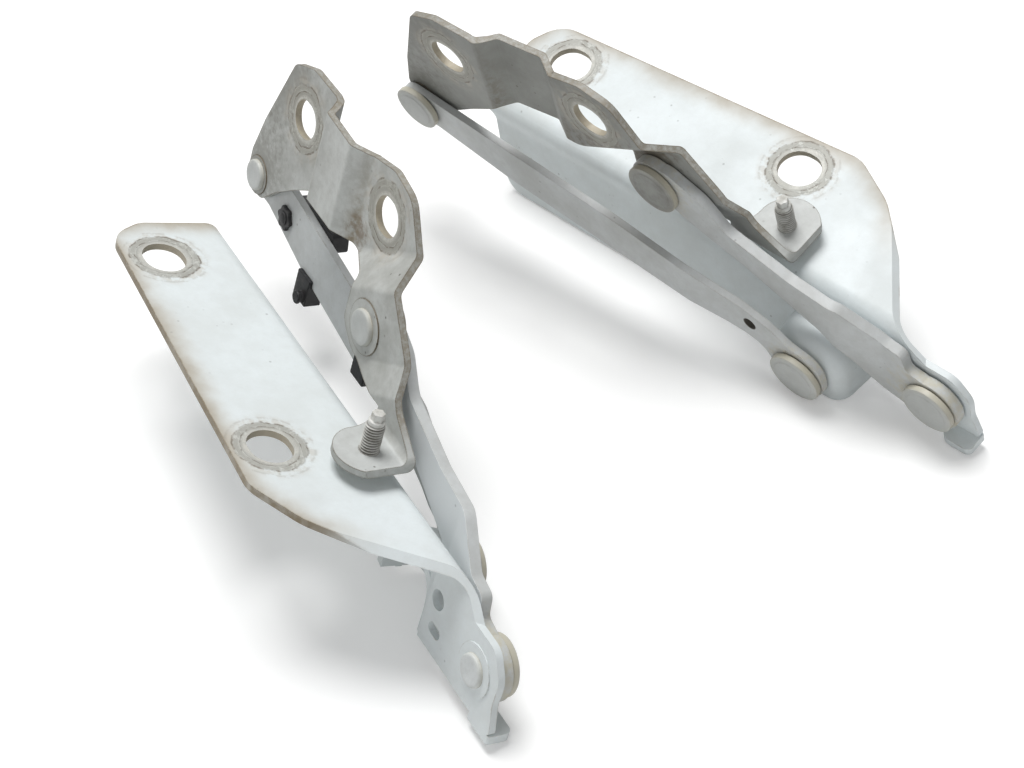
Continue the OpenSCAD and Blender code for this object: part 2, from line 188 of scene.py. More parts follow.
def times(tree, first, *others):
    """The product of two or more values."""
    for other in others:
        first = maths(tree, "MULTIPLY", first, other)
    return first


def vector_maths(tree, operation, *vectors):
    return put(tree, "ShaderNodeVectorMath", dict(enumerate(vectors)), operation=operation).outputs


def length(tree, vector):
    return vector_maths(tree, "LENGTH", vector)["Value"]


def away_from(tree, place, centre):
    return vector_maths(tree, "SUBTRACT", place, centre)[0]


def flat_distance(tree, place, centre, across):
    """Distance from a centre along the axes that a sheet lies in."""
    return length(tree, vector_maths(tree, "MULTIPLY", away_from(tree, place, centre), across)[0])


def split(tree, vector):
    return put(tree, "ShaderNodeSeparateXYZ", {0: vector}).outputs


def join(tree, x, y, z):
    return put(tree, "ShaderNodeCombineXYZ", {"X": x, "Y": y, "Z": z}).outputs[0]


def ramp(tree, value, low, high, out_low=0.0, out_high=1.0):
    """A smooth step of a value between two limits."""
    limits = {"Value": value, "From Min": low, "From Max": high, "To Min": out_low, "To Max": out_high}
    return put(tree, "ShaderNodeMapRange", limits, interpolation_type="SMOOTHSTEP").outputs["Result"]


def fade(tree, value, low, high, strength=1.0):
    """A smooth step down to nothing."""
    return ramp(tree, value, low, high, strength, 0.0)


def noise(tree, place, scale, detail=4.0, rough=0.55):
    sizes = {"Vector": place, "Scale": scale, "Detail": detail, "Roughness": rough}
    return put(tree, "ShaderNodeTexNoise", sizes).outputs["Fac"]


def wobble(tree, place, scale, detail, swing):
    """Noise that swings about nought."""
    return times(tree, minus(tree, noise(tree, place, scale, detail), 0.5), swing)


def blend(tree, mask, under, over):
    """Colour laid over another by a mask."""
    node = tree.nodes.new("ShaderNodeMix")
    node.data_type = "RGBA"
    for socket, value in ((node.inputs[0], mask), (node.inputs[6], under), (node.inputs[7], over)):
        if isinstance(value, bpy.types.NodeSocket):
            tree.links.new(value, socket)
        else:
            socket.default_value = (*value, 1.0)
    return node.outputs[2]


def attribute(tree, name):
    return put(tree, "ShaderNodeAttribute", attribute_name=name).outputs["Fac"]


def start_group(name, inputs, outputs):
    """A shader node group with named sockets: (name, type, default) in, names of values out."""
    tree = bpy.data.node_groups.new(name, "ShaderNodeTree")
    for label, kind, default in inputs:
        tree.interface.new_socket(label, in_out="INPUT", socket_type=kind).default_value = default
    for label in outputs:
        tree.interface.new_socket(label, in_out="OUTPUT", socket_type=FLOAT)
    return tree, tree.nodes.new("NodeGroupInput").outputs, tree.nodes.new("NodeGroupOutput").inputs


def give_out(tree, out, **values):
    for name, value in values.items():
        tree.links.new(value, out[name])


def object_place(tree):
    return put(tree, "ShaderNodeTexCoord").outputs["Object"]


def hinge_place(tree):
    """Object coordinates turned into the hinge's own millimetres, the same on both sides."""
    x, y, z = split(tree, object_place(tree))
    folded = join(tree, x, maths(tree, "ABSOLUTE", y), z)
    frame_of_hinge = {"Vector": folded, "Location": HINGE_AT * MM,
                      "Rotation": (LEAN, 0.0, TOE), "Scale": (MM, MM, MM)}
    return put(tree, "ShaderNodeMapping", frame_of_hinge, vector_type="TEXTURE").outputs[0]


def hinge_facing(tree):
    """The surface's direction in the hinge's own axes, the same on both sides."""
    coords = put(tree, "ShaderNodeTexCoord").outputs
    side = maths(tree, "SIGN", split(tree, coords["Object"])[1])
    x, y, z = split(tree, coords["Normal"])
    turned_back = {"Vector": join(tree, x, times(tree, y, side), z), "Rotation": (LEAN, 0.0, TOE)}
    return put(tree, "ShaderNodeMapping", turned_back, vector_type="TEXTURE").outputs[0]


def cut_faces(tree, across):
    """Mask of the sheet's thin cut faces, for a sheet that lies along the given axes."""
    face = vector_maths(tree, "SUBTRACT", (1, 1, 1), across)[0]
    along = vector_maths(tree, "DOT_PRODUCT", hinge_facing(tree), face)["Value"]
    return fade(tree, maths(tree, "ABSOLUTE", along), 0.3, 0.65)


# node groups

def make_dust():
    """Soft mottling of a paint, with small dark specks and a fine grain."""
    tree, given, out = start_group("dust", [("Patch", FLOAT, 30.0), ("Specks", FLOAT, 0.5)],
                                   ["Mottle", "Fine", "Specks", "Grain"])
    fine_scale, cell_scale, area_scale, grain_scale = 170.0, 210.0, 55.0, 900.0
    at = object_place(tree)
    mottle = ramp(tree, noise(tree, at, given["Patch"], detail=6.0, rough=0.62), 0.36, 0.7)
    fine = ramp(tree, noise(tree, at, fine_scale, detail=6.0, rough=0.75), 0.36, 0.68)
    dots = put(tree, "ShaderNodeTexVoronoi", {"Vector": at, "Scale": cell_scale, "Randomness": 1.0})
    near = fade(tree, dots.outputs["Distance"], 0.06, 0.16)
    where = ramp(tree, noise(tree, at, area_scale, detail=3.0), 0.52, 0.66)
    specks = times(tree, near, where, given["Specks"])
    grain = noise(tree, at, grain_scale, detail=3.0)
    give_out(tree, out, Mottle=mottle, Fine=fine, Specks=specks, Grain=grain)
    return tree


def make_edge_grime():
    """Dirt that stays along cut edges and folds."""
    tree, given, out = start_group("edge_grime", [("Reach", FLOAT, 0.0012), ("Cover", FLOAT, 0.5)], ["Mask"])
    patch_scale, softness = 60.0, 0.12
    soft = put(tree, "ShaderNodeBevel", {"Radius": given["Reach"]}, samples=6).outputs[0]
    true = put(tree, "ShaderNodeNewGeometry").outputs["True Normal"]
    bent = fade(tree, vector_maths(tree, "DOT_PRODUCT", soft, true)["Value"], 0.8, 0.995)
    level = minus(tree, 1.0, given["Cover"])
    patches = noise(tree, object_place(tree), patch_scale, detail=5.0, rough=0.7)
    patchy = ramp(tree, patches, minus(tree, level, softness), plus(tree, level, softness))
    give_out(tree, out, Mask=times(tree, bent, patchy))
    return tree


def make_washer_marks():
    """Worn rings round two bolt holes, from the hole's wall and pale lip out to a smear on the paint."""
    tree, given, out = start_group(
        "washer_marks",
        [("First", VECTOR, (0, 0, 0)), ("Second", VECTOR, (0, 0, 0)), ("Across", VECTOR, FLANGE_FACE),
         ("Radius", FLOAT, WASHER_RADIUS), ("Hole", FLOAT, FLANGE_HOLE_RADIUS)],
        ["Bare", "Chips", "Arcs", "Smear", "Wall", "Lip", "Height"])
    # dark arcs: distance past the ring's rim, half width and strength
    arc_rows = ((-0.2, 0.7, 0.9), (-2.9, 0.5, 0.9), (2.6, 0.9, 0.22))
    wall_reach = (12.0, 13.0)
    at = hinge_place(tree)
    near = [flat_distance(tree, at, given[name], given["Across"]) for name in ("First", "Second")]
    reach = maths(tree, "MINIMUM", *near)
    ragged = wobble(tree, at, scale=0.13, detail=3.0, swing=3.5)
    past = minus(tree, plus(tree, reach, ragged), given["Radius"])
    bare = fade(tree, past, -0.9, 0.2)
    crumbs = noise(tree, at, scale=0.55, detail=6.0, rough=0.72)
    round_hole = join(tree, plus(tree, reach, times(tree, crumbs, 0.7)), 0.0, 0.0)
    turned = noise(tree, round_hole, scale=0.9, detail=3.0, rough=0.6)
    streaks = ramp(tree, plus(tree, times(tree, turned, 0.75), times(tree, crumbs, 0.25)), 0.48, 0.62)
    broad = noise(tree, at, scale=0.06, detail=2.0)
    torn = times(tree, ramp(tree, broad, 0.5, 0.58), ramp(tree, crumbs, 0.47, 0.56))
    chips = maths(tree, "MAXIMUM", times(tree, streaks, bare), times(tree, torn, bare))
    patches = noise(tree, at, scale=0.2, detail=5.0, rough=0.65)
    patchy = ramp(tree, patches, 0.42, 0.6, out_low=0.08)
    arcs = 0.0
    for offset, width, strength in arc_rows:
        away = maths(tree, "ABSOLUTE", minus(tree, past, offset))
        arcs = maths(tree, "MAXIMUM", arcs, fade(tree, away, 0.1, width, strength))
    arcs = times(tree, arcs, patchy)
    rim = minus(tree, plus(tree, reach, times(tree, ragged, 0.4)), given["Hole"])
    give_out(
        tree, out, Bare=bare, Chips=chips, Arcs=arcs,
        Smear=times(tree, fade(tree, past, -1.0, 6.5), patchy),
        Wall=times(tree, cut_faces(tree, given["Across"]), fade(tree, reach, *wall_reach)),
        Lip=times(tree, fade(tree, rim, 0.5, 1.8), ramp(tree, crumbs, 0.42, 0.58, out_low=1.0, out_high=0.3)),
        Height=minus(tree, plus(tree, chips, times(tree, bare, crumbs)), arcs))
    return tree


def make_stain():
    """A soft-edged stain round one place, broken up by noise."""
    tree, given, out = start_group("stain", [("Place", VECTOR, (0, 0, 0)), ("Radius", FLOAT, 12.0)], ["Mask"])
    at = hinge_place(tree)
    share = maths(tree, "DIVIDE", length(tree, away_from(tree, at, given["Place"])), given["Radius"])
    ragged = times(tree, noise(tree, at, scale=0.28, detail=5.0, rough=0.7), 1.3)
    level = plus(tree, share, ragged)
    give_out(tree, out, Mask=fade(tree, level, 0.75, 1.25))
    return tree


def make_flange_rim():
    """Brown staining that fades in from the flange's outer edge, and the dirty line on the edge itself."""
    tree, given, out = start_group("flange_rim", [("Reach", FLOAT, 8.0)], ["Soft", "Line"])
    far_inside, edge_soft, line_width = 1000.0, 1.5, 0.7
    at = hinge_place(tree)
    inside = far_inside
    for start, end in zip(FLANGE_CORNERS, FLANGE_CORNERS[1:]):
        outward = Vector((end[1] - start[1], start[0] - end[0], 0.0)).normalized()
        along = vector_maths(tree, "DOT_PRODUCT", at, outward)["Value"]
        offset = outward.dot(Vector((*start, 0.0)))
        inside = maths(tree, "MINIMUM", inside, minus(tree, offset, along))
    on_flange = ramp(tree, split(tree, at)[2], FLANGE_LOW, FLANGE_LOW + edge_soft)
    outer = ramp(tree, split(tree, at)[0], *RIM_FADE)
    wander = plus(tree, inside, wobble(tree, at, scale=0.05, detail=4.0, swing=14.0))
    soft = fade(tree, maths(tree, "DIVIDE", wander, given["Reach"]), -0.2, 1.0)
    ragged = plus(tree, inside, wobble(tree, at, scale=0.35, detail=5.0, swing=1.1))
    line = fade(tree, ragged, 0.0, line_width)
    patches = noise(tree, at, scale=0.12, detail=5.0, rough=0.7)
    worn = ramp(tree, patches, 0.3, 0.6, out_low=0.35)
    give_out(tree, out, Soft=times(tree, soft, on_flange, outer),
             Line=times(tree, line, worn, on_flange, outer))
    return tree


def make_fold_grime():
    """Dirt that lies along a fold of the bracket, thicker at its lower end."""
    tree, given, out = start_group("fold_grime", [("Fold", FLOAT, 0.0), ("Reach", FLOAT, 6.0)], ["Mask"])
    at = hinge_place(tree)
    x, _, z = split(tree, at)
    away = maths(tree, "ABSOLUTE", minus(tree, x, given["Fold"]))
    along_fold = fade(tree, maths(tree, "DIVIDE", away, given["Reach"]), 0.0, 1.0)
    patches = noise(tree, at, scale=0.22, detail=5.0, rough=0.7)
    patchy = ramp(tree, patches, 0.38, 0.62, out_low=0.1)
    lower = ramp(tree, z, *FOLD_DIRT_HEIGHTS, out_low=1.0, out_high=0.35)
    give_out(tree, out, Mask=times(tree, along_fold, times(tree, patchy, lower)))
    return tree


def make_cut_face():
    """The sheet's thin cut faces, above the stop tab."""
    tree, given, out = start_group("cut_face", [("Across", VECTOR, BRACKET_FACE)], ["Mask"])
    clear = ramp(tree, split(tree, hinge_place(tree))[2], *TAB_CLEAR)
    give_out(tree, out, Mask=times(tree, cut_faces(tree, given["Across"]), clear))
    return tree


DUST = make_dust()
EDGE_GRIME = make_edge_grime()
WASHER_MARKS = make_washer_marks()
STAIN = make_stain()
FLANGE_RIM = make_flange_rim()
FOLD_GRIME = make_fold_grime()
CUT_FACE = make_cut_face()


def use(tree, group, **inputs):
    node = tree.nodes.new("ShaderNodeGroup")
    node.node_tree = group
    for name, value in inputs.items():
        node.inputs[name].default_value = value
    return node.outputs


# materials

BROWN = (0.22, 0.17, 0.1)
DEEP_TAN = (0.34, 0.29, 0.21)
NEAR_BLACK = (0.13, 0.105, 0.075)
RUST = (0.18, 0.125, 0.075)
OCHRE = (0.38, 0.33, 0.24)
GREASE_AND_SHADE = (0.07, 0.06, 0.045)
CREAM = (0.54, 0.51, 0.41)
TAN = (0.5, 0.46, 0.39)
PAINTED_LIGHT_PALE = (0.78, 0.81, 0.82)
PALE_LIP = (0.66, 0.65, 0.6)
CUT_BROWN = (0.24, 0.21, 0.16)
PAINTED_SHADE_GREY = (0.2, 0.2, 0.18)
RIVET_PALE = (0.7, 0.73, 0.73)
RIVET_GREY = (0.45, 0.46, 0.44)
RIVET_DUST = (0.36, 0.365, 0.35)
RIVET_DARK = (0.19, 0.185, 0.165)
RIVET_GRIME = (0.22, 0.185, 0.12)
NYLON = (0.012, 0.012, 0.014)
NYLON_DUST = (0.045, 0.043, 0.04)

Edge = namedtuple("Edge", "cover colour strength")
Rings = namedtuple("Rings", "holes hole_radius across bare chips")
Stain = namedtuple("Stain", "place radius strength colour")


def start_material(name, **plain):
    """A material with its Principled shader, constant values set on the shader's own sockets."""
    material = bpy.data.materials.new(name)
    material.use_nodes = True
    tree = material.node_tree
    shader = tree.nodes["Principled BSDF"]
    for socket, value in plain.items():
        shader.inputs[socket.replace("_", " ")].default_value = value
    return material, tree, shader


def lay(tree, tint, mask, strength, colour):
    """Lays a colour over a tint by a mask at a given strength."""
    return blend(tree, times(tree, mask, strength), tint, colour)


def bump(tree, shader, height, strength, distance):
    node = put(tree, "ShaderNodeBump", {"Height": height, "Strength": strength, "Distance": distance})
    tree.links.new(node.outputs[0], shader.inputs["Normal"])


def uneven(tree, value, swing, base):
    """A base level that rises with a value."""
    return plus(tree, times(tree, value, swing), base)


def finish_shader(tree, shader, tint, rough):
    tree.links.new(tint, shader.inputs["Base Color"])
    tree.links.new(rough, shader.inputs["Roughness"])


def painted(name, colour, shade, mottle, fine, specks, edge, rings=None, stains=(), extra=None):
    """Painted sheet: mottled paint, grimy edges, worn washer rings and stains."""
    material, tree, shader = start_material(name, Specular_IOR_Level=0.42)
    dust = use(tree, DUST, Patch=26.0, Specks=specks)
    tint = lay(tree, colour, dust["Mottle"], mottle, shade)
    tint = lay(tree, tint, dust["Fine"], fine, shade)
    rough = uneven(tree, dust["Mottle"], swing=0.14, base=0.42)
    height = times(tree, dust["Grain"], 0.25)
    for stain in stains:
        mask = times(tree, use(tree, STAIN, Place=stain.place, Radius=stain.radius)["Mask"], stain.strength)
        tint = blend(tree, mask, tint, stain.colour)
        rough = plus(tree, rough, times(tree, mask, 0.2))
    if extra:
        tint = extra(tree, tint)
    grime = use(tree, EDGE_GRIME, Reach=0.001, Cover=edge.cover)["Mask"]
    tint = lay(tree, tint, grime, edge.strength, edge.colour)
    tint = blend(tree, dust["Specks"], tint, GREASE_AND_SHADE)
    if rings:
        first, second = rings.holes
        worn = use(tree, WASHER_MARKS, First=first, Second=second,
                   Across=rings.across, Hole=rings.hole_radius)
        layers = (("Smear", 0.6, TAN), ("Bare", 0.9, rings.bare), ("Chips", 0.6, rings.chips),
                  ("Arcs", 0.8, NEAR_BLACK), ("Lip", 0.65, PALE_LIP), ("Wall", 0.8, OCHRE))
        for mark, strength, mark_colour in layers:
            tint = lay(tree, tint, worn[mark], strength, mark_colour)
        tree.links.new(times(tree, worn["Bare"], 0.15), shader.inputs["Metallic"])
        rough = plus(tree, rough, times(tree, worn["Bare"], 0.06))
        height = plus(tree, height, times(tree, worn["Height"], 0.6))
    finish_shader(tree, shader, tint, rough)
    bump(tree, shader, height, strength=0.4, distance=0.0004)
    return material


def link_light_and_shade(tree, tint):
    """Painted light makes the main link's outer face paler than the rest, and painted shade darkens the guide
    link's small hole.
    """
    # painted shade: the wall of the guide link's small hole is darkened as if in shadow
    reach = flat_distance(tree, hinge_place(tree), LINK_HOLE, BRACKET_FACE)
    tint = blend(tree, fade(tree, reach, LINK_HOLE_RADIUS, LINK_HOLE_RADIUS + 0.5, 0.95), tint, GREASE_AND_SHADE)
    # painted light: faces of the main link that point outwards are made paler
    outward = ramp(tree, split(tree, hinge_facing(tree))[1], 0.4, 0.8)
    main_only = ramp(tree, split(tree, hinge_place(tree))[1], *MAIN_LINK_FROM)
    return lay(tree, tint, times(tree, outward, main_only), 0.85, PAINTED_LIGHT_PALE)


def flange_staining(tree, tint):
    """Brown dirt along the flange's rim, darkest at the edge."""
    rim = use(tree, FLANGE_RIM, Reach=12.0)
    tint = lay(tree, tint, rim["Soft"], 0.75, TAN)
    tint = lay(tree, tint, maths(tree, "POWER", rim["Soft"], 3.0), 0.6, DEEP_TAN)
    return lay(tree, tint, rim["Line"], 0.9, BROWN)


def bracket_dirt(tree, tint):
    """Brown cut faces and folds, painted shade on faces turned to the middle, a darker patch there round the
    lift pivot, and painted light on the stop tab's top.
    """
    blotches = noise(tree, hinge_place(tree), scale=0.4, detail=6.0, rough=0.75)
    blotchy = ramp(tree, blotches, 0.36, 0.6, out_low=0.3)
    cut = times(tree, use(tree, CUT_FACE, Across=BRACKET_FACE)["Mask"], blotchy)
    tint = lay(tree, tint, cut, 0.8, CUT_BROWN)
    for fold in BRACKET_FOLDS:
        tint = lay(tree, tint, use(tree, FOLD_GRIME, Fold=fold, Reach=6.0)["Mask"], 0.8, BROWN)
    # painted shade: faces turned towards the middle plane are darkened
    inward_shade = fade(tree, split(tree, hinge_facing(tree))[1], -0.7, -0.4)
    # a darker patch round the lift pivot on those faces
    lift_patch = use(tree, STAIN, Place=LIFT_DARK_PATCH, Radius=48.0)["Mask"]
    tint = lay(tree, tint, inward_shade, 0.65, PAINTED_SHADE_GREY)
    tint = lay(tree, tint, times(tree, inward_shade, lift_patch), 0.85, NEAR_BLACK)
    # painted light: the stop tab's top faces are made paler
    upward_lit = ramp(tree, split(tree, hinge_facing(tree))[2], 0.75, 0.95)
    below = fade(tree, split(tree, hinge_place(tree))[2], *TAB_CLEAR)
    return lay(tree, tint, times(tree, upward_lit, below), 0.25, PAINTED_LIGHT_PALE)


def riveted(name):
    """Rivets: heads and disc faces painted like the sheet, cream worn rims with greasy corners."""
    material, tree, shader = start_material(name, Specular_IOR_Level=0.4)
    dust = use(tree, DUST, Patch=90.0, Specks=0.4)
    shade = attribute(tree, "shade")
    tint = blend(tree, shade, RIVET_PALE, RIVET_GREY)
    # a disc shade above one darkens the disc towards a dark grey
    darker_disc = times(tree, ramp(tree, shade, 1.0, 2.0), ramp(tree, dust["Mottle"], 0.0, 1.0, out_low=0.7))
    tint = blend(tree, darker_disc, tint, RIVET_DARK)
    tint = lay(tree, tint, dust["Fine"], 0.3, RIVET_DUST)
    tint = lay(tree, tint, attribute(tree, "worn"), 0.9, CREAM)
    grime = use(tree, EDGE_GRIME, Reach=0.0008, Cover=0.5)["Mask"]
    tint = lay(tree, tint, grime, 0.75, RIVET_GRIME)
    finish_shader(tree, shader, tint, uneven(tree, dust["Mottle"], swing=0.2, base=0.38))
    bump(tree, shader, dust["Grain"], strength=0.14, distance=0.0004)
    return material


def plated(name, light, dark, metallic, rough, patch, grime):
    """Plain or plated steel and bronze with stained patches, and painted shade in the thread roots."""
    material, tree, shader = start_material(name, Metallic=metallic)
    dust = use(tree, DUST, Patch=patch, Specks=0.6)
    tint = blend(tree, dust["Mottle"], light, dark)
    # painted shade darkens the thread roots
    tint = lay(tree, tint, attribute(tree, "root"), 0.9, GREASE_AND_SHADE)
    edges = use(tree, EDGE_GRIME, Reach=0.0005, Cover=0.4)["Mask"]
    tint = lay(tree, tint, edges, grime, GREASE_AND_SHADE)
    finish_shader(tree, shader, tint, uneven(tree, dust["Mottle"], swing=0.25, base=rough))
    bump(tree, shader, dust["Grain"], strength=0.15, distance=0.0003)
    return material


def moulded(name):
    """Black nylon with a fine moulded grain and a little dust."""
    material, tree, shader = start_material(name, Specular_IOR_Level=0.45)
    dust = use(tree, DUST, Patch=120.0, Specks=0.0)
    tint = lay(tree, NYLON, dust["Mottle"], 0.5, NYLON_DUST)
    finish_shader(tree, shader, tint, uneven(tree, dust["Grain"], swing=0.2, base=0.38))
    bump(tree, shader, dust["Grain"], strength=0.25, distance=0.0003)
    return material


FINISH = {
    "white_paint": painted(
        "white_paint", colour=(0.75, 0.8, 0.81), shade=(0.62, 0.65, 0.64),
        mottle=0.55, fine=0.25, specks=0.35,
        edge=Edge(cover=0.4, colour=(0.3, 0.25, 0.18), strength=0.7),
        rings=Rings(FLANGE_HOLES, FLANGE_HOLE_RADIUS, FLANGE_FACE,
                    bare=(0.39, 0.385, 0.35), chips=(0.68, 0.69, 0.65)),
        extra=flange_staining),
    "grey_paint": painted(
        "grey_paint", colour=(0.6, 0.62, 0.62), shade=(0.42, 0.425, 0.405),
        mottle=0.55, fine=0.3, specks=0.5,
        edge=Edge(cover=0.5, colour=(0.2, 0.17, 0.12), strength=0.8),
        stains=(Stain((0.0, -7.0, 0.0), 40.0, 0.9, CREAM),
                Stain((56.5, -25.0, -2.0), 36.0, 0.8, CREAM),
                Stain((133.0, -12.0, 61.0), 34.0, 0.7, CREAM)),
        extra=link_light_and_shade),
    "dusty_paint": painted(
        "dusty_paint", colour=(0.55, 0.565, 0.545), shade=(0.3, 0.3, 0.275),
        mottle=0.7, fine=0.4, specks=0.8,
        edge=Edge(cover=0.6, colour=(0.14, 0.11, 0.07), strength=0.95),
        rings=Rings(BONNET_HOLES, BONNET_HOLE_RADIUS, BRACKET_FACE,
                    bare=(0.36, 0.35, 0.31), chips=(0.55, 0.55, 0.5)),
        # the first two rows darken the bracket towards its tail end; the third is a rust spot
        stains=(Stain((258.0, -22.0, 100.0), 60.0, 0.6, (0.23, 0.225, 0.2)),
                Stain((262.0, -22.0, 52.0), 45.0, 0.7, (0.25, 0.245, 0.22)),
                Stain((171.0, -16.0, 79.0), 15.0, 0.7, RUST)),
        extra=bracket_dirt),
    "cream_steel": riveted("cream_steel"),
    "dark_steel": plated("dark_steel", (0.2, 0.18, 0.14), (0.07, 0.06, 0.05),
                         metallic=0.6, rough=0.45, patch=160.0, grime=1.0),
    "bush_bronze": plated("bush_bronze", (0.42, 0.31, 0.16), (0.2, 0.14, 0.08),
                          metallic=0.8, rough=0.4, patch=160.0, grime=1.0),
    "zinc_steel": plated("zinc_steel", (0.72, 0.72, 0.69), (0.5, 0.49, 0.45),
                         metallic=0.15, rough=0.62, patch=240.0, grime=0.25),
    "black_plastic": moulded("black_plastic"),
}


# pieces

def finish_piece(mesh, name, body, slot, replaced=(), sharp=SHADE_ANGLE):
    """Turns a bmesh in the row frame into a riding piece with its finish."""
    bmesh.ops.recalc_face_normals(mesh, faces=mesh.faces)
    data = bpy.data.meshes.new(name)
    mesh.to_mesh(data)
    mesh.free()
    data.polygons.foreach_set("use_smooth", [True] * len(data.polygons))
    data.set_sharp_from_angle(angle=math.radians(sharp))
    data.materials.append(FINISH[slot])
    piece = bpy.data.objects.new(name, data)
    scene.collection.objects.link(piece)
    even = piece.modifiers.new("even_shading", "WEIGHTED_NORMAL")
    even.keep_sharp = True
    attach(piece, body)
    if replaced:
        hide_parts(*replaced)
    return piece


def stand_in(mesh, node, change, sharp=SHADE_ANGLE):
    """A detailed piece that takes the place of a node, on the same body and with the same finish."""
    finish_piece(mesh, f"{node}_{change}", BODY_OF[node], SLOT_OF[node], [node], sharp)


def seat(mesh, side, place):
    """Moves a shape from its own axes to its place on a hinge."""
    bmesh.ops.transform(mesh, matrix=PLACE[side] @ place, verts=mesh.verts)


def facing_out(at):
    """A place whose upright points outwards along the pivots."""
    return Matrix.Translation(at) @ Matrix.Rotation(math.radians(-90), 4, "X")


def round_edges(mesh, edges, width, segments=FINE_ROUND_STEPS):
    bmesh.ops.bevel(mesh, geom=edges, offset=width, offset_type="OFFSET", segments=segments, profile=0.5,
                    affect="EDGES", material=-1, clamp_overlap=True)


def soften(mesh, width):
    """Rounds every sharp edge."""
    limit = math.radians(EDGE_ANGLE)
    round_edges(mesh, [e for e in mesh.edges if e.is_manifold and e.calc_face_angle() > limit], width)


def round_tab(mesh, side):
    """Eases the stop tab's upright corners, seen from above, into a smooth curve."""
    to_hinge = PLACE[side].inverted()
    uprights = []
    for edge in mesh.edges:
        low, high = sorted((to_hinge @ vert.co for vert in edge.verts), key=lambda point: point.z)
        upright = high.z - low.z > UPRIGHT_HIGH and (high - low).xy.length < UPRIGHT_LEAN
        on_tab = low.z > TAB_LOW and high.z < TAB_HIGH and low.y > TAB_OUT
        if upright and on_tab and edge.is_manifold:
            uprights.append((edge, low.xy, edge.calc_face_angle()))
    sharp = [row for row in uprights if SLIGHT_BEND < row[2] < STRONG_BEND]
    crowded = [edge for edge, at, angle in uprights if angle <= SLIGHT_BEND
               and any((at - corner).length < TAB_ROOM for _, corner, _ in sharp)]
    bmesh.ops.dissolve_edges(mesh, edges=crowded, use_verts=True)
    corners = [edge for edge, _, _ in sharp if edge.is_valid]
    round_edges(mesh, corners, TAB_CORNER * MM, TAB_STEPS)


def rounded_copy(node, width):
    """A pressing or moulding with its edges rounded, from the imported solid."""
    mesh = bmesh.new()
    mesh.from_mesh(frame["nodes"][node].data)
    bmesh.ops.remove_doubles(mesh, verts=mesh.verts, dist=SOLID_WELD * MM)
    bmesh.ops.dissolve_degenerate(mesh, edges=mesh.edges, dist=SLIVER_WELD * MM)
    bmesh.ops.dissolve_limit(mesh, angle_limit=math.radians(FLAT_ANGLE), verts=mesh.verts, edges=mesh.edges)
    if node.endswith("bonnet_bracket"):
        round_tab(mesh, node.split("_")[0])
    soften(mesh, width * MM)
    stand_in(mesh, node, "rounded")


def spin_outline(mesh, outline, layers=(), steps=RIVET_STEPS):
    """A closed turned shape round the z axis: (radius, height, layer values) outline spun full circle."""
    points = []
    for radius, height, *values in outline:
        point = mesh.verts.new((radius, 0.0, height))
        for layer, value in zip(layers, values):
            point[layer] = value
        points.append(point)
    edges = [mesh.edges.new(pair) for pair in zip(points, points[1:])]
    bmesh.ops.spin(mesh, geom=points + edges, cent=(0, 0, 0), axis=(0, 0, 1), dvec=(0, 0, 0),
                   angle=math.tau, steps=steps, use_merge=True, use_duplicate=False)
    bmesh.ops.remove_doubles(mesh, verts=mesh.verts, dist=TURNED_WELD)


def rivet_outline(pivot):
    """Rivet from head to disc: radius, place along the pivot, wear, paint shade."""
    seat_out, head_r = pivot.head_seat, pivot.head_radius
    seat_in, disc_r = pivot.disc_seat, pivot.disc_radius
    top = seat_out + HEAD_HIGH
    low = seat_in - DISC_THICK
    head = [(0.0, top - 0.35, 0.0), (head_r * 0.5, top - 0.3, 0.0), (head_r * 0.68, top, 0.0),
            (head_r - 0.7, top - 0.05, 0.05), (head_r - 0.25, top - 0.3, 0.15), (head_r, top - 0.8, 0.3),
            (head_r + 0.15, seat_out, 0.6), (SHANK_RADIUS, seat_out, 0.6)]
    disc = [(SHANK_RADIUS, seat_in, 1.0), (disc_r - 0.55, seat_in, 1.0), (disc_r - 0.15, seat_in - 0.15, 1.0),
            (disc_r, seat_in - 0.55, 1.0), (disc_r, low + 0.6, 0.9), (disc_r - 0.18, low + 0.18, 0.4),
            (disc_r - 0.6, low, 0.2), (disc_r - 2.3, low, 0.05), (disc_r - 2.6, low - 0.1, 0.0),
            (disc_r - 3.1, low - 0.4, 0.0), (0.0, low - 0.4, 0.0)]
    return [(*point, pivot.head_shade) for point in head] + [(*point, pivot.disc_shade) for point in disc]


def make_rivet(side, name):
    """A rivet with a dished head outside and a chamfered disc inside."""
    pivot = PIVOTS[name]
    mesh = bmesh.new()
    layers = [mesh.verts.layers.float.new(layer) for layer in ("worn", "shade")]
    spin_outline(mesh, rivet_outline(pivot), layers)
    seat(mesh, side, facing_out((pivot.at[0], 0.0, pivot.at[1])))
    stand_in(mesh, f"{side}_{name}_rivet", "turned")


def add_thread(mesh, dark):
    """One tooth's outline swept up a helix, its last turn run down into the core; its root is marked for
    painted shade.
    """
    tooth = ((ROOT, 0.0), (ROOT, 0.1), (CREST, 0.42), (CREST, 0.58), (ROOT, 0.9), (ROOT, 1.0))
    points = [mesh.verts.new((radius, 0.0, THREAD_LOW + share * PITCH)) for radius, share in tooth]
    for point in points:
        point[dark] = float(point.co.x < CREST)
    edges = [mesh.edges.new(pair) for pair in zip(points, points[1:])]
    turns = int((THREAD_TOP - THREAD_LOW) / PITCH) - 1
    bmesh.ops.spin(mesh, geom=points + edges, cent=(0, 0, 0), axis=(0, 0, 1), dvec=(0, 0, PITCH / TURN_STEPS),
                   angle=math.tau * turns, steps=TURN_STEPS * turns, use_duplicate=False)
    bmesh.ops.remove_doubles(mesh, verts=mesh.verts, dist=THREAD_WELD)
    bmesh.ops.holes_fill(mesh, edges=[edge for edge in mesh.edges if edge.is_boundary], sides=0)
    run_out = THREAD_LOW + turns * PITCH - 0.4
    for vert in mesh.verts:
        share = min(max((vert.co.z - run_out) / PITCH, 0.0), 1.0)
        radius = math.hypot(vert.co.x, vert.co.y)
        if radius > ROOT:
            vert.co.xy *= 1.0 - share * (radius - ROOT) / radius


